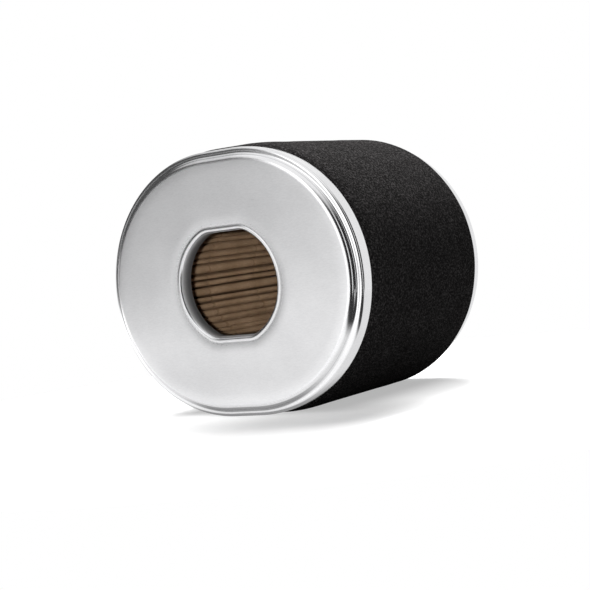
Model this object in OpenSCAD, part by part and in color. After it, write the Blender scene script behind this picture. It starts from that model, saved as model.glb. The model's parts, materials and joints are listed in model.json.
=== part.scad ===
// Dual-element air filter cartridge, oval pattern, for a small engine.
// The cartridge lies on one of its flats. Y is the axis of air flow: the open end cap
// faces -Y and the closed end cap, with the stud hole, faces +Y. Z is up and all
// sizes are in millimetres.

/* [Overall] */
// Width of the oval end caps, across the round sides
cap_w = 114; // [104:0.5:130]
// Height of the oval end caps, across the flats
cap_h = 101.6; // [96:0.2:103.6]
// Length of the cartridge, from cap face to cap face
filter_len = 101.2; // [60:0.2:160]

/* [End caps] */
// Thickness of the pressed steel sheet
sheet_t = 0.5; // [0.4:0.05:0.8]
// Depth of each cap, from its face to the free edge of its skirt
cap_depth = 9; // [8:0.1:14]
// Height of the raised face over the ledge round it
step_h = 2.7; // [2.5:0.1:3.2]
// Distance from the skirt in to the step of the raised face
ledge_w = 2.7; // [2:0.1:4]
// Outside radius of the raised face's edge
face_round = 2.4; // [1.2:0.1:2.4]
// Outside radius where the ledge turns into the skirt
rim_round = 1.3; // [0.9:0.1:1.6]

/* [Clean air opening] */
// Clear opening of the front cap, across its round sides
opening_d = 43; // [34:0.5:46]
// Clear opening of the front cap, across its flats
opening_flat = 39.6; // [30:0.2:41.6]
// Length of the neck that is turned in round the opening
neck_len = 6; // [3:0.1:12]

/* [Stud hole] */
// Diameter of the hole that the stud of the air box passes through
stud_hole_d = 8; // [6.4:0.1:12]
// Length of the drawn collar, the cap's sheet included
collar_len = 2.5; // [1.5:0.1:5]
// Diameter of the sunk seat for the wing nut, at the face of the cap
nut_seat_d = 34; // [24:0.5:44]
// Depth of the sunk seat
nut_seat_h = 1.5; // [0.8:0.1:2.5]

/* [Pleated paper] */
// Number of pleats
pleat_count = 58; // [40:1:72]
// Radius of the ring of inner folds, at the round sides
core_r = 24; // [24:0.1:28]
// Thickness of the resin-treated paper
paper_t = 0.6; // [0.4:0.05:0.8]
// Share of the pitch that a rounded inner fold fills
inner_fold_fill = 0.84; // [0.6:0.01:0.9]
// Share of the pitch that a rounded outer fold fills
outer_fold_fill = 0.5; // [0.4:0.01:0.7]
// Depth over which a fold rounds into its two leaves
fold_round = 1.3; // [0.8:0.1:2]

/* [Sealant] */
// Thickness of the sealant under the ends of the pleats
bed_floor = 2.5; // [1:0.1:3]
// Thickness of the two low walls of sealant along the folds
bed_wall = 1.5; // [0.8:0.1:1.8]

/* [Seam clip] */
// Thickness of the clip's strip
clip_t = 0.3; // [0.2:0.05:0.5]
// How far the clip grips down the joined pleat
clip_grip = 6; // [3:0.5:10]

/* [Foam sleeve] */
// Thickness of the foam wall
foam_t = 10; // [7:0.1:12]
// How far the foam stands out past the skirts of the caps
foam_proud = 0.8; // [0.4:0.1:1.5]
// How far the foam is tucked in under each skirt
foam_tuck = 3.5; // [1.5:0.1:4]

/* [Fits] */
// Free space left round the foam
foam_gap = 0.3; // [0.2:0.05:0.5]
// Free space left round the pleats and round the clip
paper_gap = 0.3; // [0.15:0.05:0.4]

/* [Hidden] */
$fn = 128;
arc_steps = 6;
past = 1;

cap_r = cap_h / 2;
half_straight = (cap_w - cap_h) / 2;
axis_z = cap_r;
face_y = filter_len / 2;

foam_r_out = cap_r + foam_proud;
foam_r_in = foam_r_out - foam_t;
foam_r_tuck = cap_r - sheet_t - foam_gap;
foam_end = cap_depth - foam_tuck;
foam_shoulder = cap_depth + foam_gap;

fold_r_out = foam_r_in - foam_gap;
fold_r_in = core_r;
mid_r = (fold_r_out + fold_r_in) / 2;
mid_line = 2 * PI * mid_r + 4 * half_straight;
pitch = mid_line / pleat_count;
clipped_fold_r = fold_r_out - clip_t - paper_gap;

bed_top = sheet_t + bed_floor;
bed_rim = foam_end - foam_gap;
neck_corner_z = opening_flat / 2 + sheet_t;
neck_corner_x = sqrt(pow(opening_d / 2 + sheet_t, 2) - pow(neck_corner_z, 2));
neck_reach = norm([max(0, neck_corner_x - half_straight), neck_corner_z]);
bed_r_in = max(fold_r_in - paper_gap - bed_wall, neck_reach + paper_gap);
bed_r_out = fold_r_out + paper_gap + bed_wall;

// ---- Shapes in the cross-section ----

module oval(r) {
    translate([half_straight, 0]) circle(r = r);
    translate([-half_straight, 0]) circle(r = r);
    square([2 * half_straight, 2 * r], center = true);
}

module oval_ring(r_in, r_out) {
    difference() {
        oval(r_out);
        oval(r_in);
    }
}

// A round hole with two parallel flats
module double_d(grow) {
    intersection() {
        circle(d = opening_d + 2 * grow);
        square([opening_d + 2 * grow + past, opening_flat + 2 * grow], center = true);
    }
}

// ---- Ways to place a section on the axis ----

// Extrudes a cross-section from y0 to y1, both measured from the front face
module along(y0, y1) {
    translate([0, y1 - face_y, axis_z])
        rotate([90, 0, 0])
            linear_extrude(height = y1 - y0) children();
}

// Carries a profile of radius against depth once round the oval, at the front end
module round_oval() {
    translate([0, -face_y, axis_z]) rotate([-90, 0, 0]) {
        for (side = [0, 1]) mirror([side, 0, 0])
            translate([half_straight, 0, 0])
                rotate([0, 0, -90]) rotate_extrude(angle = 180) children();
        for (side = [0, 1]) mirror([0, side, 0])
            translate([-half_straight, 0, 0])
                rotate([90, 0, 90]) linear_extrude(height = 2 * half_straight) children();
    }
}

// Turns what is made at the front end round to the rear end
module at_rear() {
    mirror([0, 1, 0]) children();
}

// ---- End caps ----

function quarter(centre, r, from) =
    [for (i = [0 : arc_steps])
        let (a = from + 90 * i / arc_steps)
        centre + r * [cos(a), sin(a)]];

// Outline of a pressed cap, each surface drawn in by the inset
function cap_profile(inset, depth) = concat(
    [[0, depth], [0, inset]],
    quarter([cap_r - ledge_w - face_round, face_round], face_round - inset, -90),
    [[cap_r - ledge_w - inset, step_h + inset]],
    quarter([cap_r - rim_round, step_h + rim_round], rim_round - inset, -90),
    [[cap_r - inset, depth]]
);

module cap_form(inset, depth) {
    round_oval() polygon(cap_profile(inset, depth));
}

module front_cap() {
    color("gainsboro") difference() {
        union() {
            difference() {
                cap_form(0, cap_depth);
                cap_form(sheet_t, cap_depth + past);
            }
            along(0, neck_len) double_d(sheet_t);
        }
        along(-past, neck_len + past) double_d(0);
    }
}

// The sunk seat of the wing nut, as the space above the sheet
module nut_seat(inset) {
    seat_r = nut_seat_d / 2 + inset;
    seat_h = nut_seat_h + inset;
    translate([0, -face_y - past, axis_z]) rotate([-90, 0, 0])
        cylinder(r1 = seat_r + past, r2 = seat_r - seat_h, h = past + seat_h);
}

module stud_cylinder(d, depth) {
    translate([0, -face_y - past, axis_z]) rotate([-90, 0, 0])
        cylinder(d = d, h = depth + past);
}

module rear_cap() {
    color("gainsboro") at_rear() difference() {
        union() {
            difference() {
                cap_form(0, cap_depth);
                difference() {
                    cap_form(sheet_t, cap_depth + past);
                    nut_seat(sheet_t);
                }
                nut_seat(0);
            }
            difference() {
                stud_cylinder(stud_hole_d + 2 * sheet_t, nut_seat_h + collar_len);
                stud_cylinder(stud_hole_d + 2 * sheet_t + past, nut_seat_h);
            }
        }
        stud_cylinder(stud_hole_d, nut_seat_h + collar_len + past);
    }
}

// ---- Sealant that holds the ends of the pleats ----

module sealant_bed() {
    color("dimgray") difference() {
        along(sheet_t, bed_rim) oval_ring(bed_r_in, bed_r_out);
        along(bed_top, bed_rim + past)
            oval_ring(fold_r_in - paper_gap, fold_r_out + paper_gap);
    }
}

module front_sealant() {
    sealant_bed();
}

module rear_sealant() {
    at_rear() sealant_bed();
}

// ---- Pleated paper ----

// A point at the distance u along the mid-line from the middle of the bottom flat,
// and at the radius r from the oval's spine
function oval_point(u, r) =
    let (arc = PI * mid_r,
         w = (u + mid_line) % mid_line,
         right = w - half_straight,
         top = right - arc,
         left = top - 2 * half_straight,
         last = left - arc)
    right < 0 ? [w, -r] :
    top < 0 ? [half_straight, 0] + r * [sin(right / mid_r * 180 / PI), -cos(right / mid_r * 180 / PI)] :
    left < 0 ? [half_straight - top, r] :
    last < 0 ? [-half_straight, 0] + r * [-sin(left / mid_r * 180 / PI), cos(left / mid_r * 180 / PI)] :
    [last - half_straight, -r];

// Half widths of the folds, measured along the mid-line
half_pitch = pitch / 2;
inner_fold = inner_fold_fill * half_pitch;
outer_fold = outer_fold_fill * half_pitch;
inner_hollow = inner_fold - paper_t * mid_r / fold_r_in;
outer_hollow = outer_fold - paper_t * mid_r / fold_r_out;
crown = 0.55;

// The outer fold that the seam clip holds stands a little lower
function crest_r(i) = i == 0 ? clipped_fold_r : fold_r_out;

function outside_line() = [for (i = [0 : pleat_count - 1])
    let (u = i * pitch, r = crest_r(i))
    each [oval_point(u - outer_fold, r - fold_round),
          oval_point(u - crown * outer_fold, r),
          oval_point(u + crown * outer_fold, r),
          oval_point(u + outer_fold, r - fold_round),
          oval_point(u + half_pitch - inner_hollow, fold_r_in + fold_round),
          oval_point(u + half_pitch, fold_r_in + paper_t),
          oval_point(u + half_pitch + inner_hollow, fold_r_in + fold_round)]];

function inside_line() = [for (i = [0 : pleat_count - 1])
    let (u = i * pitch, r = crest_r(i))
    each [oval_point(u - outer_hollow, r - fold_round),
          oval_point(u, r - paper_t),
          oval_point(u + outer_hollow, r - fold_round),
          oval_point(u + half_pitch - inner_fold, fold_r_in + fold_round),
          oval_point(u + half_pitch - crown * inner_fold, fold_r_in),
          oval_point(u + half_pitch + crown * inner_fold, fold_r_in),
          oval_point(u + half_pitch + inner_fold, fold_r_in + fold_round)]];

module pleated_paper() {
    color("rosybrown") along(bed_top, filter_len - bed_top) difference() {
        polygon(outside_line());
        polygon(inside_line());
    }
}

// ---- Clip over the pleat where the two ends of the paper meet ----

// The outside of that pleat, from its rounded fold towards the inner folds
leaf_start = oval_point(outer_fold, clipped_fold_r - fold_round);
leaf_end = oval_point(half_pitch - inner_hollow, fold_r_in + fold_round);
leaf_way = (leaf_end - leaf_start) / norm(leaf_end - leaf_start);
leaf_grip = leaf_start + leaf_way * (clip_grip - fold_round);

function mirrored(point) = [-point.x, point.y];

module seam_clip() {
    near = paper_gap / 2;
    far = near + clip_t;
    foot = leaf_grip + [far, 0];
    foot_in = leaf_grip + [near, 0];
    side = [leaf_start.x + far, -clipped_fold_r - near];
    side_in = [leaf_start.x + near, -clipped_fold_r - near];
    flat = [side_in.x, -clipped_fold_r - far];
    color("silver") along(bed_rim + paper_gap, filter_len - bed_rim - paper_gap) polygon([
        foot_in, side_in, mirrored(side_in), mirrored(foot_in),
        mirrored(foot), mirrored(side), mirrored(flat), flat,
        side, foot
    ]);
}

// ---- Foam sleeve ----

foam_profile = [
    [foam_r_in, foam_end],
    [foam_r_tuck, foam_end],
    [foam_r_tuck, foam_shoulder],
    [foam_r_out, foam_shoulder],
    [foam_r_out, filter_len - foam_shoulder],
    [foam_r_tuck, filter_len - foam_shoulder],
    [foam_r_tuck, filter_len - foam_end],
    [foam_r_in, filter_len - foam_end]
];

// Where the cartridge lies, its weight presses the foam level with the skirts
module foam_sleeve() {
    color("#262626") difference() {
        round_oval() polygon(foam_profile);
        translate([-cap_w, -filter_len, -cap_h]) cube([2 * cap_w, 2 * filter_len, cap_h]);
    }
}

front_cap();
rear_cap();
front_sealant();
rear_sealant();
pleated_paper();
seam_clip();
foam_sleeve();
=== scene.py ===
"""Oval air filter cartridge for a small engine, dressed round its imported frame.

Two pressed steel caps hold a ring of pleated paper, and a foam sleeve lies round the paper.
Sizes are metres in the frame's own axes: Y runs through the cartridge from the open cap to
the closed one, Z is up and X is across the width of the oval.
"""

import json
import logging
import math
from dataclasses import dataclass
from enum import Enum
from typing import Sequence

import bpy
from mathutils import Matrix, Vector, noise
from mathutils.kdtree import KDTree

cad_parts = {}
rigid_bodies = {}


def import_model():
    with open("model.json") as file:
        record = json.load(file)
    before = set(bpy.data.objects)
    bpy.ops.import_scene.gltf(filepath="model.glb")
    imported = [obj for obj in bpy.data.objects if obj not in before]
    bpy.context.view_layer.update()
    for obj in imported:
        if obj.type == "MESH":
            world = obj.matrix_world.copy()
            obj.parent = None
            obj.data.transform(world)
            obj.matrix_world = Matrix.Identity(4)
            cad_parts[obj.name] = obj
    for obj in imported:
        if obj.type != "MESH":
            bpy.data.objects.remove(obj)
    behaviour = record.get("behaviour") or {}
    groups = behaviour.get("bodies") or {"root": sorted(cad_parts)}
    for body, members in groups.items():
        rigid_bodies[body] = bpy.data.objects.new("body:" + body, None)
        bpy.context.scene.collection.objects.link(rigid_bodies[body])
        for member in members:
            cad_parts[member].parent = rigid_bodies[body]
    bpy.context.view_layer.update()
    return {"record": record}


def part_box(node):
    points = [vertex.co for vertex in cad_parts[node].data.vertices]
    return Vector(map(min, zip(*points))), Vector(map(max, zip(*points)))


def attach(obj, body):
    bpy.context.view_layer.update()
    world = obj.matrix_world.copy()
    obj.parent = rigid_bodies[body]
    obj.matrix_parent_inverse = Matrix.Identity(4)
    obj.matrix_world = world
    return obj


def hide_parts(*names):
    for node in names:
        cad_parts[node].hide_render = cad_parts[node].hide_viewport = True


LOG = logging.getLogger("air_filter")
MM = 0.001
MERGE = 1e-6
WHITE = (1.0, 1.0, 1.0, 1.0)
Piece = bpy.types.Object
Material = bpy.types.Material
Point = tuple[float, float]
Profile = list[Point]
Ramp = tuple[float, float]
Place = tuple[float, float, float]


class CapEnd(Enum):
    """Which end of the cartridge a cap or a bed of sealant closes."""

    FRONT = 1
    REAR = -1


# ---- shader expressions ----


class Value:
    """A number that varies over a surface; arithmetic on it adds Math nodes."""

    def __init__(self, shader: "Graph", socket: bpy.types.NodeSocket) -> None:
        """Wrap one output socket of a shader's node tree."""
        self.shader = shader
        self.socket = socket

    def _math(self, operation: str, *values: object) -> "Value":
        """The result of a Math node, with its inputs in order as numbers or other values."""
        return self.shader.node("ShaderNodeMath", dict(enumerate(values)), operation=operation)

    def __add__(self, other: object) -> "Value":
        """Sum."""
        return self._math("ADD", self, other)

    __radd__ = __add__

    def __sub__(self, other: object) -> "Value":
        """Difference."""
        return self._math("SUBTRACT", self, other)

    def __rsub__(self, other: object) -> "Value":
        """Difference, with the value on the right."""
        return self._math("SUBTRACT", other, self)

    def __mul__(self, other: object) -> "Value":
        """Product."""
        return self._math("MULTIPLY", self, other)

    def size(self) -> "Value":
        """The value without its sign."""
        return self._math("ABSOLUTE", self)

    def root(self) -> "Value":
        """Its square root."""
        return self._math("SQRT", self)

    def or_more(self, other: object) -> "Value":
        """The larger of this value and another."""
        return self._math("MAXIMUM", self, other)

    def turn_from(self, other: "Value") -> "Value":
        """The angle in radians between the other value's axis and this one's."""
        return self._math("ARCTAN2", self, other)

    def smooth_step(self, low: float, high: float) -> "Value":
        """A smooth ramp from 0 at low to 1 at high; it falls where high is the lower one."""
        limits = {"Value": self, "From Min": low, "From Max": high}
        return self.shader.node(
            "ShaderNodeMapRange", limits, "Result", interpolation_type="SMOOTHSTEP"
        )

    def band(self, low: float, high: float, soft: float) -> "Value":
        """1 between two limits and 0 outside them, with edges softened to both sides."""
        rise = self.smooth_step(low - soft, low + soft)
        return rise * self.smooth_step(high + soft, high - soft)


class Graph:
    """A tree of shader nodes under construction."""

    def __init__(self, tree: bpy.types.NodeTree, place: str) -> None:
        """Empty a tree and take its coordinates.

        Args:
            tree: The tree to fill.
            place: Which texture coordinates it works in.
        """
        self.tree = tree
        self.tree.nodes.clear()
        self.place = self.node("ShaderNodeTexCoord", {}, place)

    def node(
        self, kind: str, sockets: dict, output: str | int = 0, **settings: object
    ) -> Value:
        """Add a node.

        Args:
            kind: The node's type.
            sockets: Values or plain numbers for its input sockets.
            output: Which output to return.
            settings: Its properties, set before anything is linked.

        Returns:
            That output as a value.
        """
        added = self.tree.nodes.new(kind)
        for name, setting in settings.items():
            setattr(added, name, setting)
        for name, value in sockets.items():
            self.feed(added.inputs[name], value)
        return Value(self, added.outputs[output])

    def last(self, kind: str, output_kind: str) -> bpy.types.Node:
        """Add a node of one kind that feeds the tree's output, and the output itself."""
        added, output = self.tree.nodes.new(kind), self.tree.nodes.new(output_kind)
        return self.tree.links.new(added.outputs[0], output.inputs["Surface"]).from_node

    def feed(self, socket: bpy.types.NodeSocket, value: object) -> None:
        """Link a value to a socket, or set the socket to a plain number or colour.

        Args:
            socket: The input socket.
            value: What it gets.
        """
        if isinstance(value, Value):
            self.tree.links.new(value.socket, socket)
        else:
            socket.default_value = value

    def noise(
        self, scale: float, detail: float, roughness: float, place: Value | None = None
    ) -> Value:
        """A cloudy noise between 0 and 1, with its scale in features per metre."""
        sockets = {
            "Vector": place or self.place, "Scale": scale, "Detail": detail, "Roughness": roughness
        }
        return self.node("ShaderNodeTexNoise", sockets, "Fac")

    def cells(self, scale: float) -> Value:
        """Distance to the middle of the nearest cell, with the cells given per metre."""
        sockets = {"Vector": self.place, "Scale": scale}
        return self.node("ShaderNodeTexVoronoi", sockets, "Distance")

    def stretched(self, scale: Sequence[float]) -> Value:
        """The object's coordinates scaled along each axis."""
        return self.node("ShaderNodeMapping", {"Vector": self.place, "Scale": scale})

    def axis(self, name: str) -> Value:
        """One coordinate of the place on the object, in metres."""
        return self.node("ShaderNodeSeparateXYZ", {"Vector": self.place}, name)

    def ray(self, kind: str) -> Value:
        """1 for one kind of ray, such as those from the camera, and 0 for the others."""
        return self.node("ShaderNodeLightPath", {}, kind)

    def mix(self, share: Value, first: object, second: object) -> Value:
        """Blend two colours.

        Args:
            share: How much of the second colour shows.
            first: The colour at 0.
            second: The colour at 1.

        Returns:
            The blended colour.
        """
        mixed = self.tree.nodes.new("ShaderNodeMix")
        mixed.data_type = "RGBA"
        colour_inputs = [s for s in mixed.inputs if s.type == "RGBA"]
        self.feed(mixed.inputs["Factor"], share)
        self.feed(colour_inputs[0], first)
        self.feed(colour_inputs[1], second)
        return Value(self, next(s for s in mixed.outputs if s.type == "RGBA"))


@dataclass(frozen=True)
class Patch:
    """An even patch of light on the sky, whose brightness is 1 for white.

    It reaches between two bearings, in degrees from straight ahead of the open cap towards +X,
    and two heights, as sines of the elevation. Soft is half the width of its edges in each.
    """

    brightness: float
    turn: Ramp
    height: Ramp
    soft: Ramp = (6.0, 0.06)


class Sky(Graph):
    """The light from all round, by direction.

    AMBIENT is the share of it that reaches matt surfaces; polished ones mirror it all. Where it
    has no patch it is at LEVEL, and at OVERHEAD from the upper of CEILING's two heights.
    """

    AMBIENT, LEVEL, OVERHEAD, CEILING = 0.03, 0.65, 1.0, (0.70, 0.90)

    def __init__(self, world: bpy.types.World) -> None:
        """Start the world's tree with its background and output.

        Args:
            world: The world to fill.
        """
        super().__init__(world.node_tree, "Generated")
        self.background = self.last("ShaderNodeBackground", "ShaderNodeOutputWorld")
        self.background.inputs["Color"].default_value = WHITE
        self.height = self.axis("Z")
        self.turn = self.axis("X").turn_from(self.axis("Y") * -1.0)
        above = self.height.smooth_step(*self.CEILING)
        self.level = above * (self.OVERHEAD - self.LEVEL) + self.LEVEL

    def lay(self, patch: Patch) -> None:
        """Lay a patch over what the sky already has.

        Args:
            patch: The patch.
        """
        left, right, fade = map(math.radians, (*patch.turn, patch.soft[0]))
        share = self.turn.band(left, right, fade) * self.height.band(*patch.height, patch.soft[1])
        self.level = self.level + share * (patch.brightness - self.level)

    def finish(self) -> None:
        """Show the camera plain white, and light the cartridge with the patches."""
        seen = self.ray("Is Camera Ray") + self.ray("Is Transmission Ray")
        lit = self.level * (1.0 - self.ray("Is Diffuse Ray") * (1.0 - self.AMBIENT))
        self.feed(self.background.inputs["Strength"], lit + seen * (1.0 - lit))


class Shader(Graph):
    """A material under construction, with one Principled surface."""

    def __init__(self, name: str) -> None:
        """Start a material with a Principled surface and its output.

        Args:
            name: The material's name.
        """
        self.material = bpy.data.materials.new(name)
        self.material.use_nodes = True
        super().__init__(self.material.node_tree, "Object")
        self.surface = self.last("ShaderNodeBsdfPrincipled", "ShaderNodeOutputMaterial")

    def set(self, **sockets: object) -> None:
        """Set the surface's sockets, with underscores for the spaces in their names."""
        for name, value in sockets.items():
            self.feed(self.surface.inputs[name.replace("_", " ")], value)

    def bump(self, height: Value, depth: float, strength: float) -> None:
        """Raise the surface by a height map, in which 1 stands for a depth in metres."""
        sockets = {"Height": height, "Distance": depth, "Strength": strength}
        self.set(Normal=self.node("ShaderNodeBump", sockets, "Normal"))


# ---- finishes ----


@dataclass(frozen=True)
class PlatedSteel:
    """Zinc-plated steel sheet: satin on the broad faces, bright where it was drawn over a die."""

    colour: tuple = (0.86, 0.86, 0.87, 1.0)
    dull_colour: tuple = (0.76, 0.76, 0.77, 1.0)
    # Colour of the painted shade round the lip and down the neck
    painted_shade_colour: tuple = (0.12, 0.12, 0.125, 1.0)
    grain_scale: Place = (900, 900, 3200)
    grain_height: float = 0.012 * MM
    grain_strength: float = 0.10
    uneven: float = 0.03
    face_roughness: float = 0.285
    drawn: Ramp = (0.02 * MM, 0.35 * MM)
    drawn_roughness: float = 0.15
    neck_edge: Ramp = (1.0 * MM, 0.3 * MM)
    neck_start: Ramp = (0.1 * MM, 1.2 * MM)
    neck_roughness: float = 0.6
    neck_film: float = 0.25
    # Painted shade down the neck: the depths it fades in over, and how dark it gets
    neck_shade_depths: Ramp = (0.0, 5.0 * MM)
    neck_shade: float = 0.8
    # Painted shade in a ring round the lip on the face: where it reaches, and how dark it is
    painted_lip_shade: Ramp = (5.5 * MM, 1.6 * MM)
    lip_shade_strength: float = 0.24

    def build(
        self, name: str, face_y: float | None = None, opening: Place | None = None
    ) -> Material:
        """Make the material.

        Args:
            name: The material's name.
            face_y: Where the flat satin face lies; without it the sheet is satin all over.
            opening: Radius, half height and height above the table of the necked opening.

        Returns:
            The material.
        """
        shader = Shader(name)
        grain = shader.noise(1.0, 3, 0.65, shader.stretched(self.grain_scale))
        fine = shader.noise(3800, 2, 0.5)
        cloud = shader.noise(45, 3, 0.55)
        rough = self.face_roughness + (cloud - 0.5) * self.uneven + (grain - 0.5) * self.uneven
        height = grain * 0.7 + fine * 0.3
        if face_y is not None:
            depth = (shader.axis("Y") - face_y).size()
            drawn = depth.smooth_step(*self.drawn)
            rough = rough + drawn * (self.drawn_roughness - rough)
            height = height * (1.0 - drawn * 0.85)
        bright = (cloud * 0.5 + grain * 0.5).smooth_step(0.3, 0.7)
        colour = shader.mix(bright, self.dull_colour, self.colour)
        metal: Value | float = 1.0
        if opening is not None:
            radius, flat, axis_z = opening
            up = (shader.axis("Z") - axis_z).size()
            out = (shader.axis("X") * shader.axis("X") + up * up).root()
            reach = (out - radius).or_more(up - flat)
            neck = reach.smooth_step(*self.neck_edge) * depth.smooth_step(*self.neck_start)
            rough = rough + neck * (self.neck_roughness - rough)
            metal = 1.0 - neck * self.neck_film
            # Painted shade: a darker ring on the face round the lip
            painted_lip_shade = reach.smooth_step(*self.painted_lip_shade) * (1.0 - neck) * self.lip_shade_strength
            # Painted shade: the neck wall darkens deeper into the opening
            painted_neck_shade = neck * depth.smooth_step(*self.neck_shade_depths) * self.neck_shade
            colour = shader.mix(painted_lip_shade.or_more(painted_neck_shade), colour, self.painted_shade_colour)
        shader.set(Metallic=metal, Roughness=rough, Base_Color=colour)
        shader.bump(height, self.grain_height, self.grain_strength)
        return shader.material


@dataclass(frozen=True)
class OpenCellFoam:
    """Oiled black polyurethane foam with pores about half a millimetre wide."""

    pore_colour: tuple = (0.002, 0.002, 0.002, 1.0)
    strut_colour: tuple = (0.084, 0.080, 0.080, 1.0)
    pores_per_metre: float = 1450.0
    strut: Ramp = (0.22, 0.58)
    glint: Ramp = (0.42, 0.68)
    pore_depth: float = 0.5 * MM

    def build(self, name: str) -> Material:
        """Make the material, with grey struts round black pores.

        Args:
            name: The material's name.

        Returns:
            The material.
        """
        shader = Shader(name)
        pores = shader.cells(self.pores_per_metre)
        fine = shader.noise(1300, 2, 0.65)
        patch = shader.noise(160, 3, 0.6)
        struts = pores.smooth_step(*self.strut)
        speckle = (struts * 0.6 + 0.4) * fine.smooth_step(*self.glint)
        tone = (speckle * 0.8 + 0.2) * (patch * 0.8 + 0.6)
        shader.set(Base_Color=shader.mix(tone, self.pore_colour, self.strut_colour))
        shader.set(Roughness=1.0, Specular_IOR_Level=0.0)
        shader.bump(struts * 0.5 + fine, self.pore_depth, 1.0)
        return shader.material


@dataclass(frozen=True)
class FilterPaper:
    """Resin-treated cellulose paper, brown, with fibres and stains."""

    light: tuple = (0.430, 0.290, 0.184, 1.0)
    dark: tuple = (0.260, 0.168, 0.098, 1.0)
    fibre_scale: Place = (2400, 500, 2400)
    fibre_height: float = 0.12 * MM
    # Painted shade along the pinched creases: how far it wavers, its width and how dark it is
    pinch_stray: float = 5.0 * MM
    pinch_line: Ramp = (0.65 * MM, 0.20 * MM)
    painted_pinch_shade: float = 2.4

    def build(self, name: str, pinches: Sequence[float]) -> Material:
        """Make the material.

        Args:
            name: The material's name.
            pinches: Where along Y the embossing has pinched the folds.

        Returns:
            The material.
        """
        shader = Shader(name)
        fibre = shader.noise(1.0, 4, 0.65, shader.stretched(self.fibre_scale))
        stain = shader.noise(90, 3, 0.55)
        tone = (fibre * 0.45 + stain * 0.7).smooth_step(0.3, 0.9)
        hook = (shader.noise(260, 1, 0.5) - 0.5) * self.pinch_stray
        # Painted shade: dark, wavering lines along the pinched creases, in patches
        for y in pinches:
            line = (shader.axis("Y") - y + hook).size().smooth_step(*self.pinch_line)
            tone = tone - line * stain.smooth_step(0.40, 0.52) * self.painted_pinch_shade
        shader.set(Base_Color=shader.mix(tone, self.dark, self.light))
        shader.set(Roughness=0.85, Specular_IOR_Level=0.3)
        shader.bump(fibre, self.fibre_height, 0.6)
        return shader.material


@dataclass(frozen=True)
class Sealant:
    """Cured plastisol, dark grey, with a dull skin."""

    colour: tuple = (0.075, 0.072, 0.07, 1.0)
    darkest: float = 0.7

    def build(self, name: str) -> Material:
        """Make the material.

        Args:
            name: The material's name.

        Returns:
            The material.
        """
        shader = Shader(name)
        skin = shader.noise(350, 3, 0.6)
        shade = tuple(c * self.darkest for c in self.colour[:3]) + (1.0,)
        shader.set(Base_Color=shader.mix(skin, shade, self.colour))
        shader.set(Roughness=skin * 0.3 + 0.4)
        shader.bump(skin, 0.0002, 0.5)
        return shader.material


# ---- modelling steps ----


def mode(name: str) -> None:
    """Put the active object in a mode."""
    bpy.ops.object.mode_set(mode=name)


def deselect() -> None:
    """Leave edit mode and let go of every object."""
    if bpy.context.object and bpy.context.object.mode != "OBJECT":
        mode("OBJECT")
    bpy.ops.object.select_all(action="DESELECT")


def activate(piece: Piece) -> None:
    """Make one piece the selected and active object.

    Args:
        piece: The piece.
    """
    deselect()
    piece.select_set(True)
    bpy.context.view_layer.objects.active = piece


def start_point(name: str, place: Sequence[float]) -> Piece:
    """Start a piece as a single vertex, in edit mode with the vertex selected.

    Args:
        name: The piece's name.
        place: Where the vertex is.

    Returns:
        The new object.
    """
    deselect()
    bpy.ops.mesh.primitive_plane_add(size=MM, location=place)
    piece = bpy.context.object
    piece.name = piece.data.name = name
    bpy.ops.object.transform_apply(location=True, rotation=True, scale=True)
    mode("EDIT")
    bpy.ops.mesh.select_mode(type="VERT")
    bpy.ops.mesh.select_all(action="SELECT")
    bpy.ops.mesh.merge(type="CENTER")
    return piece


def extrude_along(points: Sequence[Sequence[float]]) -> None:
    """Extrude the selected vertex from each point to the next one."""
    for start, end in zip(points, points[1:]):
        bpy.ops.mesh.extrude_vertices_move(
            TRANSFORM_OT_translate={"value": Vector(end) - Vector(start)}
        )


def extrude_edges(move: Sequence[float]) -> None:
    """Extrude the selected edges by a move."""
    bpy.ops.mesh.extrude_edges_move(TRANSFORM_OT_translate={"value": move})


def finish_mesh(merge: float = MERGE) -> None:
    """Merge doubled vertices, turn the faces outwards and go back to object mode.

    Args:
        merge: How near vertices are to count as one.
    """
    bpy.ops.mesh.select_all(action="SELECT")
    bpy.ops.mesh.remove_doubles(threshold=merge)
    bpy.ops.mesh.normals_make_consistent(inside=False)
    mode("OBJECT")


def thicken(piece: Piece, thickness: float, offset: float) -> None:
    """Give a sheet its thickness with an applied Solidify modifier.

    Args:
        piece: The sheet.
        thickness: Its thickness.
        offset: Which side it grows on, from -1 for inwards to 1.
    """
    activate(piece)
    modifier = piece.modifiers.new("Solidify", "SOLIDIFY")
    modifier.thickness, modifier.offset = thickness, offset
    modifier.use_even_offset = True
    bpy.ops.object.modifier_apply(modifier=modifier.name)


def shade(piece: Piece, material: Material, angle_deg: float = 35.0) -> None:
    """Give a piece its material and smooth its shallow edges.

    Args:
        piece: The piece.
        material: Its material.
        angle_deg: The sharpest edge that is smoothed.
    """
    activate(piece)
    piece.data.materials.clear()
    piece.data.materials.append(material)
    bpy.ops.object.shade_smooth_by_angle(angle=math.radians(angle_deg))


def move_chosen(piece: Piece, old: Sequence[Vector], new: Sequence[Vector]) -> None:
    """Move the selected vertices, in edit mode, from one list of places to another.

    Args:
        piece: The piece.
        old: Where they are.
        new: Where each of them goes, in the same order.
    """
    tree = KDTree(len(old))
    for i, place in enumerate(old):
        tree.insert(place, i)
    tree.balance()
    mode("OBJECT")
    for vertex in piece.data.vertices:
        if vertex.select:
            vertex.co = new[tree.find(vertex.co)[1]]
    mode("EDIT")


def draw(*place: float) -> float:
    """A smooth random value between -1 and 1, always the same for a place."""
    return noise.noise(Vector(place))


def facing(place: Sequence[float], way: Vector) -> Matrix:
    """The matrix of a camera or lamp that stands at a place and looks one way."""
    return Matrix.Translation(place) @ way.to_track_quat("-Z", "Y").to_matrix().to_4x4()


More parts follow.
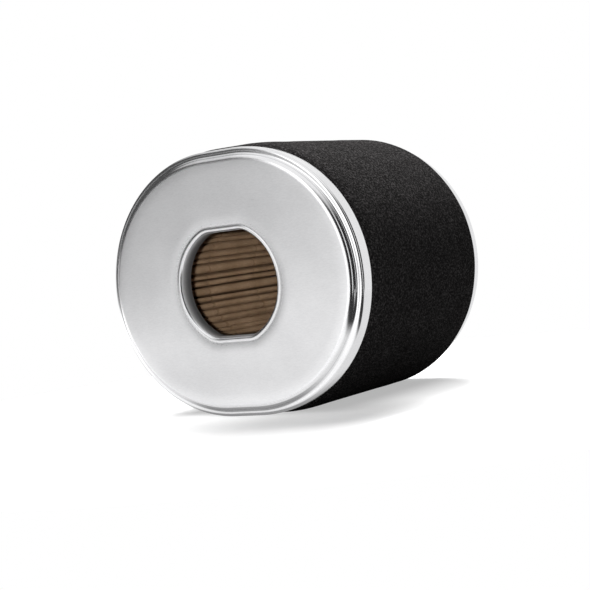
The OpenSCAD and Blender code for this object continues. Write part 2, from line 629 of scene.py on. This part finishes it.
def arc(centre: Point, radius: float, start_deg: float, turn_deg: float, steps: int) -> Profile:
    """Points on an arc in a profile's plane, with angles from its first axis."""
    angles = [math.radians(start_deg + turn_deg * i / steps) for i in range(steps + 1)]
    return [(centre[0] + radius * math.cos(a), centre[1] + radius * math.sin(a)) for a in angles]


def shares(count: int) -> list[float]:
    """Even shares of a whole, from the first step to 1."""
    return [i / count for i in range(1, count + 1)]


# ---- the oval ----


@dataclass(frozen=True)
class Oval:
    """The flattened round that every piece follows: two half circles and two flats."""

    end_radius: float
    half_straight: float
    axis_z: float
    face_y: float
    length: float

    @classmethod
    def from_frame(cls) -> "Oval":
        """Read the oval from the boxes of the two caps.

        Returns:
            The oval.
        """
        low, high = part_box("front_cap")
        end_radius = (high[2] - low[2]) / 2
        half_straight = (high[0] - low[0]) / 2 - end_radius
        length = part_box("rear_cap")[1][1] - low[1]
        return cls(end_radius, half_straight, (low[2] + high[2]) / 2, low[1], length)

    def face_at(self, end: CapEnd) -> float:
        """Where along Y the flat face of the cap at one end lies."""
        return self.face_y if end is CapEnd.FRONT else self.face_y + self.length

    def place(self, radius: float, depth: float, end: CapEnd) -> Vector:
        """A profile's point below the right-hand spine, at a depth from one cap's face."""
        y = self.face_at(end) + end.value * depth
        return Vector((self.half_straight, y, self.axis_z - radius))

    def sweep(
        self, name: str, profile: Profile, end: CapEnd, steps: int, closed: bool = False
    ) -> Piece:
        """Carry a profile of radius against depth once round the oval.

        Args:
            name: The new piece's name.
            profile: The points of the profile.
            end: Which cap the depths are measured from.
            steps: Faces round each half circle.
            closed: Whether the profile's last point joins its first.

        Returns:
            The piece, in object mode.
        """
        points = [self.place(r, y, end) for r, y in profile]
        if closed:
            points.append(points[0])
        piece = start_point(name, points[0])
        extrude_along(points)
        bpy.ops.mesh.select_all(action="SELECT")
        bpy.ops.mesh.remove_doubles(threshold=MERGE)
        across = 2 * self.half_straight
        for side in (1, -1):
            spine = (side * self.half_straight, 0, self.axis_z)
            bpy.ops.mesh.spin(steps=steps, angle=math.pi, center=spine, axis=(0, 1, 0))
            extrude_edges((-side * across, 0, 0))
        finish_mesh()
        return piece


# ---- end caps ----


@dataclass
class EndCap:
    """A pressed cap: raised face, ledge and skirt; open in front, closed at the rear."""

    oval: Oval
    end: CapEnd
    sheet: float = 0.5 * MM
    depth: float = 9.0 * MM
    step: float = 2.7 * MM
    ledge: float = 2.7 * MM
    face_round: float = 2.4 * MM
    rim_round: float = 1.3 * MM
    corner_root: float = 1.1 * MM
    free_edge: float = 0.5 * MM
    round_steps: int = 10
    half_circle_steps: int = 96
    corner_steps: int = 14
    face_merge: float = 3e-6
    face_margin: float = 9.0 * MM
    opening_radius: float = 21.5 * MM
    opening_flat: float = 19.8 * MM
    opening_corner: float = 8.0 * MM
    neck: float = 6.0 * MM
    lip_round: float = 1.35 * MM
    lip_draw: float = 2.0 * MM
    lip_rise: float = 0.04 * MM
    lip_steps: int = 12
    groove_depth: float = 0.14 * MM
    groove_fall: float = 0.6 * MM
    groove_width: float = 4.6 * MM
    fall_steps: int = 5
    climb_steps: int = 8
    seat_radius: float = 17.0 * MM
    seat_depth: float = 1.5 * MM
    seat_root: float = 0.8 * MM
    hole_radius: float = 4.0 * MM
    collar: float = 2.5 * MM

    def face(self) -> float:
        """Where along Y the cap's flat face lies."""
        return self.oval.face_at(self.end)

    def rim_profile(self) -> Profile:
        """The outer surface of the rim, from the face out to the free edge of the skirt.

        Returns:
            Points of radius against depth.
        """
        outer = self.oval.end_radius
        start = outer - self.ledge - self.face_round
        both = self.face_round + self.corner_root
        steepest = math.acos(1 - self.step / both)
        turn, steps = math.degrees(steepest), self.round_steps
        root = (start + both * math.sin(steepest), self.step - self.corner_root)
        rim = (outer - self.rim_round, self.step + self.rim_round)
        return [
            (outer - self.face_margin, 0.0),
            *arc((start, self.face_round), self.face_round, -90, turn, steps),
            *arc(root, self.corner_root, 90 + turn, -turn, steps)[1:],
            *arc(rim, self.rim_round, -90, 90, steps),
            (outer, self.depth - self.free_edge),
            (outer, self.depth),
        ]

    def whole(self, half: Profile, y: float) -> list[Vector]:
        """Mirror the right half of an outline, and place it across the cartridge."""
        points = half + [(-x, z) for x, z in half[::-1]]
        return [Vector((x, y, self.oval.axis_z + z)) for x, z in points]

    def outline(self, grow: float, y: float) -> list[Vector]:
        """The outline of the opening, grown evenly.

        Args:
            grow: How far it is grown outwards.
            y: Where along the cartridge it lies.

        Returns:
            Its corners in order, without a repeat of the first.
        """
        radius, flat = self.opening_radius + grow, self.opening_flat + grow
        corner = self.opening_corner + grow
        rise = flat - corner
        reach = math.sqrt((radius - corner) ** 2 - rise ** 2)
        lean = math.degrees(math.atan2(reach, rise))
        side_steps = self.half_circle_steps // 2 - self.corner_steps
        quarter = [
            *arc((reach, rise), corner, 90, -lean, self.corner_steps),
            *arc((0, 0), radius, 90 - lean, lean - 90, side_steps)[1:],
        ]
        return self.whole(quarter + [(x, -z) for x, z in quarter[-2::-1]], y)

    def add_loop(self, points: Sequence[Vector]) -> None:
        """Add a closed loop of edges to the piece in edit mode, and leave it selected.

        Args:
            points: The loop's corners.
        """
        bpy.ops.mesh.select_all(action="DESELECT")
        bpy.ops.mesh.primitive_plane_add(size=MM, location=points[0])
        bpy.ops.mesh.merge(type="CENTER")
        extrude_along([*points, points[0]])
        bpy.ops.mesh.select_linked()
        bpy.ops.mesh.remove_doubles(threshold=MERGE)

    def lip_profile(self) -> Profile:
        """The opening's rolled lip and the groove round it, from the neck's free edge outwards.

        Returns:
            Points of how far the outline has grown against the depth below the face.
        """
        radius, rise, groove = self.lip_round, self.lip_rise, self.groove_depth
        inside = [
            (across, (deep + radius) / radius * self.lip_draw - rise)
            for across, deep in arc((radius, 0.0), radius, 180, 90, self.lip_steps)
        ]
        fall = [
            (radius + self.groove_fall * t, (rise + groove) * (1 - math.cos(math.pi * t)) / 2 - rise)
            for t in shares(self.fall_steps)
        ]
        foot = radius + self.groove_fall
        climb = [
            (foot + self.groove_width * t, groove * (1 - t) ** 2) for t in shares(self.climb_steps)
        ]
        return [(0.0, self.neck), (0.0, (self.neck + self.lip_draw) / 2), *inside, *fall, *climb]

    def seat_profile(self) -> Profile:
        """The wing nut's sunk seat, from the collar outwards.

        Returns:
            Points of radius against depth.
        """
        root, wall = self.seat_root, self.seat_radius - self.seat_depth
        return [
            (self.hole_radius, self.seat_depth + self.collar),
            *arc((self.hole_radius + root, self.seat_depth + root), root, 180, 90, 6),
            *arc((wall - root, self.seat_depth - root), root, 90, -45, 4),
            *arc((self.seat_radius + root, root), root, -135, 45, 4),
            (self.seat_radius + 2 * root, 0.0),
        ]

    def round_loop(self, radius: float, y: float) -> list[Vector]:
        """A circle on the axis, with as many points as the face's edge and in the same order."""
        inset = 90 / (self.half_circle_steps + 1)
        return self.whole(arc((0, 0), radius, 90 - inset, 2 * inset - 180, self.half_circle_steps), y)

    def face_edge(self) -> list[Vector]:
        """The inner edge of the swept rim, where the flat face joins it."""
        spine, radius = (self.oval.half_straight, 0), self.oval.end_radius - self.face_margin
        return self.whole(arc(spine, radius, 90, -180, self.half_circle_steps), self.face())

    def close_face(self, piece: Piece) -> None:
        """Draw the sheet from the edge of its opening out to the rim.

        Args:
            piece: The swept rim.
        """
        shape, profile = self.round_loop, self.seat_profile()
        if self.end is CapEnd.FRONT:
            shape, profile = self.outline, self.lip_profile()
        loops = [shape(size, self.face() + self.end.value * depth) for size, depth in profile]
        loops.append(self.face_edge())
        activate(piece)
        mode("EDIT")
        bpy.ops.mesh.select_mode(type="VERT")
        self.add_loop(loops[0])
        for old, new in zip(loops, loops[1:]):
            extrude_edges((0, 0, 0))
            move_chosen(piece, old, new)

    def build(self, name: str, finish: PlatedSteel) -> Piece:
        """Model the cap and dress it.

        Args:
            name: The piece's name.
            finish: Its finish.

        Returns:
            The finished cap.
        """
        piece = self.oval.sweep(name, self.rim_profile(), self.end, self.half_circle_steps)
        self.close_face(piece)
        finish_mesh(self.face_merge)
        self.face_outwards(piece)
        thicken(piece, self.sheet, -1.0)
        opening = None
        if self.end is CapEnd.FRONT:
            opening = (self.opening_radius, self.opening_flat, self.oval.axis_z)
        shade(piece, finish.build(name + "_steel", self.face(), opening))
        return piece

    def face_outwards(self, piece: Piece) -> None:
        """Turn the sheet's faces so that the cap's face looks out of the cartridge.

        Args:
            piece: The sheet.
        """
        flat = [p for p in piece.data.polygons if abs(p.center.y - self.face()) < MERGE]
        if sum(p.normal.y * p.area for p in flat) * self.end.value > 0:
            activate(piece)
            mode("EDIT")
            bpy.ops.mesh.select_all(action="SELECT")
            bpy.ops.mesh.flip_normals()
            mode("OBJECT")


# ---- sealant ----


@dataclass
class SealantBed:
    """The ring of sealant that holds the ends of the pleats in a cap."""

    oval: Oval
    end: CapEnd
    cap_sheet: float = 0.5 * MM
    floor: float = 2.5 * MM
    rim_depth: float = 5.2 * MM
    inner: float = 22.2 * MM
    outer: float = 43.1 * MM
    wall: float = 1.5 * MM
    edge_round: float = 0.6 * MM
    round_steps: int = 4
    half_circle_steps: int = 64

    def lip(self, inner: float) -> Profile:
        """The rounded top of one of the two walls, by the wall's inner radius."""
        r, outer, steps = self.edge_round, inner + self.wall, self.round_steps
        return [
            point for start, x in ((180, inner + r), (90, outer - r))
            for point in arc((x, self.rim_depth - r), r, start, -90, steps)
        ]

    def profile(self) -> Profile:
        """The cross-section, a trough with rounded lips, as radius against depth."""
        low, trough, far = self.cap_sheet, self.cap_sheet + self.floor, self.outer - self.wall
        return [
            (self.inner, low), *self.lip(self.inner), (self.inner + self.wall, trough),
            (far, trough), *self.lip(far), (self.outer, low),
        ]

    def build(self, name: str, finish: Sealant) -> Piece:
        """Model the bed and dress it.

        Args:
            name: The piece's name.
            finish: Its finish.

        Returns:
            The piece.
        """
        steps = self.half_circle_steps
        piece = self.oval.sweep(name, self.profile(), self.end, steps, closed=True)
        shade(piece, finish.build(name + "_skin"))
        return piece


# ---- pleated paper ----


@dataclass
class PleatedPaper:
    """The ring of pleats: packed, rounded, uneven folds, embossed along two lines."""

    oval: Oval
    pleats: int = 58
    inner: float = 24.0 * MM
    outer: float = 41.3 * MM
    clipped_by: float = 0.6 * MM
    thickness: float = 0.6 * MM
    fold_round: float = 1.5 * MM
    inner_fill: float = 0.66
    outer_fill: float = 0.38
    end_depth: float = 3.0 * MM
    spacing: float = 3.4 * MM
    emboss_depths: tuple = (30.0 * MM, 63.5 * MM)
    emboss_width: float = 0.8 * MM
    emboss_sink: float = 0.45 * MM
    emboss_squeeze: float = 0.16
    faintest: float = 0.35
    sink: float = 0.55 * MM
    slack: float = 0.5
    lean: float = 0.42
    stray: float = 0.10
    top_angles: tuple = (0, 40, 90, 140, 180)
    low_angles: tuple = (0, 20, 42, 66, 90, 114, 138, 160, 180)

    @property
    def mid(self) -> float:
        """Radius halfway between the inner and the outer folds."""
        return (self.inner + self.outer) / 2

    @property
    def perimeter(self) -> float:
        """Length of the line halfway between the folds."""
        return 2 * math.pi * self.mid + 4 * self.oval.half_straight

    @property
    def pitch(self) -> float:
        """Distance between folds along that line."""
        return self.perimeter / self.pleats

    def roll(self, along: float, radius: float) -> tuple[float, float]:
        """Place a point of the unrolled section on the oval.

        Args:
            along: Distance along the middle line, from the middle of the bottom flat.
            radius: Distance from the spine.

        Returns:
            Its x and z in the frame.
        """
        s = self.oval.half_straight
        turned, w = divmod((along + s) % self.perimeter, self.perimeter / 2)
        side, a = 1 - 2 * turned, max(0.0, w - 2 * s) / self.mid
        x = min(w, 2 * s) - s + radius * math.sin(a)
        return side * x, self.oval.axis_z - side * radius * math.cos(a)

    def unroll(self, x: float, z: float) -> tuple[float, float]:
        """The reverse of roll.

        Args:
            x: The point's x in the frame.
            z: Its z.

        Returns:
            Its distance along the middle line, and its radius.
        """
        s, bend, height = self.oval.half_straight, math.pi * self.mid, z - self.oval.axis_z
        if abs(x) <= s:
            return (x % self.perimeter if height < 0 else s + bend + s - x), abs(height)
        out = abs(x) - s
        turn = math.atan2(out, -height) * self.mid
        return (s + turn if x > 0 else self.perimeter - s - turn), math.hypot(out, height)

    def section(self) -> list[Vector]:
        """The middle of the paper once round the ring, at the open cap's end.

        Returns:
            Its points.
        """
        half, bend, edge = self.pitch / 2, self.fold_round, self.thickness / 2
        y = self.oval.face_y + self.end_depth
        corners: Profile = []
        for i in range(self.pleats):
            top = self.outer - edge - (self.clipped_by if i == 0 else 0.0)
            low = self.inner + edge
            start = i * self.pitch
            for a in map(math.radians, self.top_angles):
                along = start - self.outer_fill * half * math.cos(a)
                corners.append((along, top - bend * (1 - math.sin(a))))
            for a in map(math.radians, self.low_angles):
                along = start + half - self.inner_fill * half * math.cos(a)
                corners.append((along, low + bend * (1 - math.sin(a) ** 0.8)))
        return [Vector((x, y, z)) for x, z in (self.roll(*corner) for corner in corners)]

    def depths(self) -> list[float]:
        """Where along the ring the paper has vertices: close together at the embossed lines.

        Returns:
            Depths from the open cap's face.
        """
        end = self.oval.length - self.end_depth
        count = round((end - self.end_depth) / self.spacing)
        even = [self.end_depth + (end - self.end_depth) * i / count for i in range(count + 1)]
        close = [e + k * self.emboss_width * 0.7 for e in self.emboss_depths for k in range(-3, 4)]
        clear = [d for d in even if min(abs(d - c) for c in close) > self.spacing * 0.3]
        return sorted(clear + close)

    def build(self, name: str, finish: FilterPaper) -> Piece:
        """Model the ring of pleats and dress it.

        Args:
            name: The piece's name.
            finish: Its finish.

        Returns:
            The piece.
        """
        section = self.section()
        piece = start_point(name, section[0])
        extrude_along([*section, section[0]])
        bpy.ops.mesh.select_all(action="SELECT")
        depths = self.depths()
        for near, far in zip(depths, depths[1:]):
            extrude_edges((0, far - near, 0))
        finish_mesh()
        for vertex in piece.data.vertices:
            vertex.co = self.crease(vertex.co)
        thicken(piece, self.thickness, 0.0)
        pinches = [self.oval.face_y + depth for depth in self.emboss_depths]
        shade(piece, finish.build(name + "_paper", pinches), 60)
        return piece

    def crease(self, place: Vector) -> Vector:
        """Move one point of the regular ring to where the uneven, embossed paper has it.

        Args:
            place: The point.

        Returns:
            Its new place.
        """
        depth = place.y - self.oval.face_y
        along, radius = self.unroll(place.x, place.z)
        inwards = max(0.0, min(1.0, (self.outer - radius) / (self.outer - self.inner)))
        gap, part = divmod(along / self.pitch, 1.0)
        shift = (1 - part) * self.gap_shift(gap, depth) + part * self.gap_shift(gap + 1, depth)
        # In each draw the factor of the gap and the second number keep it apart from the others
        sink = abs(draw(gap * 3.7, 1.3, depth * 12)) * self.sink
        press = sum(math.exp(-((depth - e) / self.emboss_width) ** 2) for e in self.emboss_depths)
        firm = abs(draw(gap * 5.1, 8.2, round(depth * 30)) * 2)
        press *= self.faintest + (1 - self.faintest) * firm
        slack = max(0.0, draw(gap * 6.1, 5.5, depth * 5)) * self.slack
        squeeze = (0.5 - part) * self.pitch * (self.emboss_squeeze * press + slack)
        rise = inwards ** 2 * (sink + self.emboss_sink * press)
        x, z = self.roll(along + inwards * (shift + squeeze), radius + rise)
        return Vector((x, place.y, z))

    def gap_shift(self, gap: float, depth: float) -> float:
        """How far the numbered gap between two inner folds has strayed along the ring."""
        lean = draw(gap % self.pleats * 9.1, 4.4, 0.5 + depth * 3) * self.lean
        return (lean + draw(gap % self.pleats * 5.3, 2.7, depth * 16) * self.stray) * self.pitch


# ---- foam sleeve ----


@dataclass
class FoamSleeve:
    """The open-cell foam sleeve, tucked in under both skirts and pressed flat underneath."""

    oval: Oval
    proud: float = 1.5 * MM
    proud_at_skirt: float = 0.3 * MM
    swell_length: float = 10.989 * MM
    wall: float = 10.0 * MM
    tuck_radius_in: float = 0.8 * MM
    tuck_depth: float = 5.5 * MM
    shoulder: float = 9.15 * MM
    shoulder_round: float = 1.0 * MM
    round_steps: int = 5
    rows: int = 60
    bore_rows: int = 12
    half_circle_steps: int = 120
    unevenness: float = 0.12 * MM
    lumps_per_metre: float = 90.0
    over_table: float = 0.02 * MM

    def profile(self) -> Profile:
        """The closed cross-section of the sleeve's wall.

        Returns:
            Points of radius against depth.
        """
        outer = self.oval.end_radius + self.proud
        inner = outer - self.wall
        tucked = self.oval.end_radius - self.tuck_radius_in
        length, r = self.oval.length, self.shoulder_round
        edge, swell = self.oval.end_radius + self.proud_at_skirt, self.shoulder + r
        front = [
            (inner, self.tuck_depth),
            (tucked, self.tuck_depth),
            (tucked, self.shoulder),
            *arc((edge - r, swell), r, -90, 90, self.round_steps),
        ]
        for a in map(math.radians, range(15, 91, 15)):
            depth = swell + self.swell_length * (1 - math.cos(a))
            front.append((edge + (outer - edge) * math.sin(a), depth))
        back = [
            *arc((outer - r, length - swell), r, 0, 90, self.round_steps),
            (tucked, length - self.shoulder),
            (tucked, length - self.tuck_depth),
            (inner, length - self.tuck_depth),
        ]
        start, end = front[-1][1], back[0][1]
        rows = [(outer, start + (end - start) * t) for t in shares(self.rows)[:-1]]
        span, last = length - 2 * self.tuck_depth, length - self.tuck_depth
        bore = [(inner, last - span * t) for t in shares(self.bore_rows)[:-1]]
        return front + rows + back + bore

    def build(self, name: str, finish: OpenCellFoam) -> Piece:
        """Model the sleeve and dress it.

        Args:
            name: The piece's name.
            finish: Its finish.

        Returns:
            The piece.
        """
        steps, oval = self.half_circle_steps, self.oval
        piece = oval.sweep(name, self.profile(), CapEnd.FRONT, steps, closed=True)
        floor = oval.axis_z - oval.end_radius + self.over_table
        for vertex in piece.data.vertices:
            middle = max(-oval.half_straight, min(oval.half_straight, vertex.co.x))
            out = Vector((vertex.co.x - middle, 0, vertex.co.z - oval.axis_z))
            if out.length > oval.end_radius + self.proud_at_skirt * 0.9:
                lump = noise.noise(vertex.co * self.lumps_per_metre) * self.unevenness
                vertex.co += out.normalized() * lump
            vertex.co.z = max(vertex.co.z, floor)
        shade(piece, finish.build(name + "_foam"), 50)
        return piece


# ---- studio ----


SKY = (
    # Ahead of the open cap, at its left: a grey wall with black flags and narrow lit gaps
    Patch(0.55, (-130, -42), (-1.1, 0.8), (10, 0.1)),
    Patch(0.02, (-68, -31), (-0.045, 0.65), (8, 0.04)),
    Patch(0.08, (-130, -32), (0.12, 0.65), (8, 0.04)),
    Patch(0.55, (-48, -26), (0.035, 0.08), (3, 0.015)),
    Patch(1.00, (-34, -24), (0.025, 0.10), (1.5, 0.012)),
    Patch(0.02, (-35, -26), (-0.055, 0.010), (2, 0.012)),
    # Past the table's edge and below its level: white, with a brighter band
    Patch(0.90, (-130, 20), (-1.1, -0.075), (8, 0.04)),
    Patch(1.85, (-130, 20), (-0.20, -0.085), (8, 0.04)),
    # Straight ahead: a large soft box
    Patch(1.7, (-23, 14), (-0.02, 0.8), (7, 0.1)),
    # The camera's side: dark, with one upright white strip
    Patch(0.02, (24, 130), (-1.1, 0.68), (4, 0.12)),
    Patch(1.0, (65, 80), (-1.1, 0.68), (4, 0.12)),
    # Behind the closed cap: white, a little darker at one side
    Patch(0.94, (138, 200), (-1.1, 0.7)),
    Patch(1.0, (-200, -130), (-1.1, 0.7), (12, 0.1)),
)


@dataclass(frozen=True)
class TableTop:
    """The white table.

    The camera sees the lamps' light and a glow that makes it white, with the cartridge's shadow
    on it; three zones of extra glow (ahead, aside, behind) are painted light that shortens that
    shadow. Matt surfaces see it darker, and steel mirrors set tones that the lamps don't change,
    a painted reflection: brighter ahead, with a painted dark patch at one side and a painted
    shadow under the cap where it touches. Zones are ramps in metres.
    """

    grey: tuple = (0.50, 0.50, 0.50, 1.0)
    dark: tuple = (0.02, 0.02, 0.02, 1.0)
    matt_dimming: float = 0.85
    glow: float = 0.44
    # Painted light: zones of extra glow for the camera that lighten the cast shadow
    ahead_x: Ramp = (0.030, -0.035)
    ahead_y: Ramp = (-0.030, -0.048)
    ahead_glow: float = 0.50
    aside_x: Ramp = (0.065, 0.090)
    aside_glow: float = 0.55
    behind_x: Ramp = (0.030, 0.065)
    behind_y: Ramp = (-0.060, -0.010)
    behind_glow: float = 0.45
    # Painted reflection: the tone steel mirrors, rising further ahead of the open cap
    tone: float = 0.85
    near_y: Ramp = (-0.045, -0.085)
    near_rise: float = 0.33
    # Painted reflection: a dark patch at one side that only steel mirrors
    dark_reflection_x: Ramp = (0.070, 0.095)
    dark_reflection_y: Ramp = (0.01, -0.02)
    # Painted shadow that steel mirrors where the cap touches the table
    contact_shadow_x: Ramp = (0.045, 0.020)
    contact_shadow_y: Ramp = (-0.0530, -0.0505)
    contact_shadow_drop: float = 0.6

    def build(self, name: str) -> Material:
        """Make the material.

        Args:
            name: The material's name.

        Returns:
            The material.
        """
        shader = Shader(name)
        x, y = shader.axis("X"), shader.axis("Y")
        seen = shader.ray("Is Camera Ray") + shader.ray("Is Transmission Ray")
        mirrored = shader.ray("Is Glossy Ray")
        dim = mirrored + shader.ray("Is Diffuse Ray") * self.matt_dimming
        # Painted light: zones of extra glow that lighten the shadow in set places
        ahead = x.smooth_step(*self.ahead_x) * y.smooth_step(*self.ahead_y)
        behind = x.smooth_step(*self.behind_x) * y.smooth_step(*self.behind_y)
        fill = ahead * self.ahead_glow + x.smooth_step(*self.aside_x) * self.aside_glow
        fill = fill.or_more(behind * self.behind_glow)
        # Painted reflection: a dark patch that only steel sees
        painted_dark_reflection = x.smooth_step(*self.dark_reflection_x) * y.smooth_step(*self.dark_reflection_y)
        # Painted shadow in the steel's reflection, under the cap where it touches
        painted_contact_shadow = y.smooth_step(*self.contact_shadow_y) * x.size().smooth_step(*self.contact_shadow_x)
        # Painted reflection: the set tone steel mirrors, brighter ahead, dark at the patch and the
        # contact
        tone = y.smooth_step(*self.near_y) * self.near_rise + self.tone
        tone = mirrored * (1.0 - painted_dark_reflection) * tone * (1.0 - painted_contact_shadow * self.contact_shadow_drop)
        shader.set(Base_Color=shader.mix(dim, self.grey, self.dark))
        shader.set(Roughness=1.0, Specular_IOR_Level=0.0, Emission_Color=WHITE)
        shader.set(Emission_Strength=seen * (fill + self.glow) + tone)
        return shader.material


@dataclass(frozen=True)
class Lamp:
    """A lamp for the matt surfaces, with its type's own settings; steel shows the sky instead."""

    name: str
    kind: str
    place: Place
    watts: float
    settings: dict[str, object]

    def hang(self, aim: Vector) -> None:
        """Put the lamp up and point it at a place.

        Args:
            aim: The place.
        """
        data = bpy.data.lights.new(self.name, self.kind)
        data.energy = self.watts
        for name, value in self.settings.items():
            setattr(data, name, value)
        lamp = bpy.data.objects.new(self.name, data)
        lamp.visible_glossy = False
        bpy.context.scene.collection.objects.link(lamp)
        lamp.matrix_world = facing(self.place, aim - Vector(self.place))


SOFT_BOXES = (
    Lamp("top_box", "AREA", (-0.29, 0.58, 1.20), 48.0, {"shape": "SQUARE", "size": 0.70}),
    Lamp("side_box", "AREA", (1.15, -0.10, 0.14), 3.4, {"shape": "SQUARE", "size": 0.5}),
    Lamp("left_box", "AREA", (-0.95, -0.45, 0.72), 6.0, {"shape": "SQUARE", "size": 0.8}),
)
BEAM = {"spot_size": math.radians(3.6), "spot_blend": 0.4, "shadow_soft_size": 0.03}
SNOOT = Lamp("snoot", "SPOT", (0.65, -1.14, 0.09), 63.0, BEAM)


@dataclass
class Studio:
    """The table, the lamps, the sky and the camera."""

    oval: Oval
    azimuth_deg: float = 35.11
    elevation_deg: float = 1.41
    roll_deg: float = -6.89
    distance: float = 570.3 * MM
    frame_pixels: float = 590.0
    focal_pixels: float = 1512.5
    shift_right_pixels: float = 67.2
    shift_down_pixels: float = 11.0
    sensor: float = 36.0
    table_radius: float = 0.22

    def camera(self, target: Vector) -> None:
        """Point the camera at a place, which the shift then moves off the frame's middle.

        Args:
            target: The place.
        """
        angles = (self.azimuth_deg, self.elevation_deg, self.roll_deg)
        azimuth, elevation, roll = map(math.radians, angles)
        back = Vector((
            math.sin(azimuth) * math.cos(elevation),
            -math.cos(azimuth) * math.cos(elevation),
            math.sin(elevation),
        ))
        data = bpy.data.cameras.new("camera")
        data.sensor_width = self.sensor
        data.lens = self.focal_pixels / self.frame_pixels * self.sensor
        data.shift_x = self.shift_right_pixels / self.frame_pixels
        data.shift_y = -self.shift_down_pixels / self.frame_pixels
        data.clip_start = 0.01
        rig = bpy.data.objects.new("camera", data)
        bpy.context.scene.collection.objects.link(rig)
        level = facing(target + back * self.distance, -back)
        rig.matrix_world = level @ Matrix.Rotation(roll, 4, "Z")
        bpy.context.scene.camera = rig

    def floor(self) -> None:
        """Lay the table top."""
        deselect()
        bpy.ops.mesh.primitive_circle_add(vertices=128, radius=self.table_radius, fill_type="NGON")
        top = bpy.context.object
        top.name = "table_top"
        top.data.materials.append(TableTop().build("table_white"))

    def world(self) -> None:
        """Hang the sky, which the camera sees as plain white."""
        world = bpy.data.worlds.new("studio")
        world.use_nodes = True
        bpy.context.scene.world = world
        world.cycles.sampling_method = "NONE"
        sky = Sky(world)
        for patch in SKY:
            sky.lay(patch)
        sky.finish()

    def build(self) -> None:
        """Set up the whole studio."""
        middle = Vector((0, 0, self.oval.axis_z))
        opening = Vector((0, self.oval.face_y, self.oval.axis_z))
        self.camera(opening)
        self.floor()
        self.world()
        for box in SOFT_BOXES:
            box.hang(middle)
        SNOOT.hang(opening)
        bpy.context.scene.view_settings.view_transform = "Standard"


def main() -> None:
    """Build the cartridge and its studio, piece by piece."""
    logging.basicConfig(level=logging.INFO, format="%(name)s: %(message)s")
    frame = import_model()
    oval = Oval.from_frame()
    Studio(oval).build()
    steel, sealant, paper, foam = PlatedSteel(), Sealant(), FilterPaper(), OpenCellFoam()
    made = [
        (EndCap(oval, CapEnd.FRONT).build("open_cap", steel), "front_cap", "plated_steel"),
        (EndCap(oval, CapEnd.REAR).build("closed_cap", steel), "rear_cap", "plated_steel"),
        (SealantBed(oval, CapEnd.FRONT).build("front_bed", sealant), "front_sealant", "sealant"),
        (SealantBed(oval, CapEnd.REAR).build("rear_bed", sealant), "rear_sealant", "sealant"),
        (PleatedPaper(oval).build("pleats", paper), "pleated_paper", "filter_paper"),
        (FoamSleeve(oval).build("sleeve", foam), "foam_sleeve", "foam"),
    ]
    body_of_node = {n: b for b, ns in frame["record"]["behaviour"]["bodies"].items() for n in ns}
    for piece, node, slot in made:
        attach(piece, body_of_node[node])
        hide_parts(node)
        LOG.info("%s: %d faces, on %s", piece.name, len(piece.data.polygons), body_of_node[node])
    clip = bpy.data.objects.get("seam_clip")
    if clip:
        clip.data.materials.clear()
        clip.data.materials.append(steel.build("clip_steel"))


if __name__ == "__main__":
    main()
